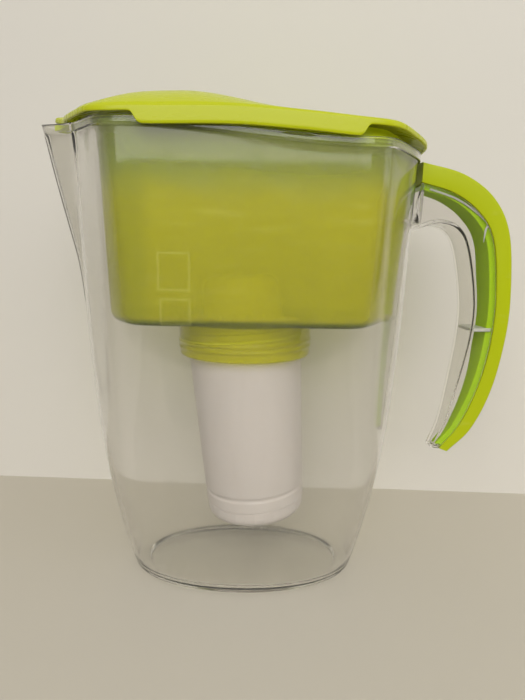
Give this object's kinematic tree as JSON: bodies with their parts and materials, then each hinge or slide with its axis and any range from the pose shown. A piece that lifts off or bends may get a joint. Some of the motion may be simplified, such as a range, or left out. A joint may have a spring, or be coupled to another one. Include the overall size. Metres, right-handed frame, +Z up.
{
  "type": "water filter jug",
  "caption": "Clear spouted water filter jug with a hollow C handle, lift-off domed lid, hanging tinted hopper and a slotted white filter cartridge in its neck.",
  "frame": {"origin": "middle of the flat foot, on the surface the jug stands on", "axes": "+Z up, -X towards the spout, +X towards the handle, Y across the jug's narrow side; the jug is symmetric about the XZ plane"},
  "size_m": [0.2523, 0.1108, 0.2564],
  "materials": {
    "clear_plastic": "clear glossy moulded plastic",
    "lime_plastic": "glossy lime green",
    "tinted_plastic": "see-through yellow-green moulded plastic",
    "white_plastic": "satin white",
    "seal_rubber": "soft pale silicone",
    "screen_mesh": "fine white mesh",
    "filter_carbon": "black granules",
    "filter_resin": "amber beads"
  },
  "bodies": {
    "jug": {"jug_body": "clear_plastic", "handle_frame": "clear_plastic", "handle_cover": "lime_plastic"},
    "hopper": {"hopper": "tinted_plastic"},
    "cartridge": {"cartridge_housing": "white_plastic", "cartridge_head": "white_plastic", "cartridge_outlet": "white_plastic", "cartridge_seal": "seal_rubber", "inlet_screen": "screen_mesh", "outlet_screen": "screen_mesh", "carbon_bed": "filter_carbon", "resin_bed": "filter_resin"},
    "lid": {"lid_shell": "lime_plastic", "lid_plug": "lime_plastic"}
  },
  "joints": [
    {"name": "hopper_lift", "type": "slide", "parent": "jug", "child": "hopper", "axis": [0, 0, 1], "range_m": [0, 0.22]},
    {"name": "cartridge_lift", "type": "slide", "parent": "hopper", "child": "cartridge", "axis": [-0.0785, 0, 0.9969], "range_m": [0, 0.12]},
    {"name": "lid_lift", "type": "slide", "parent": "cartridge", "child": "lid", "axis": [0, 0, 1], "range_m": [0, 0.08]}
  ]
}
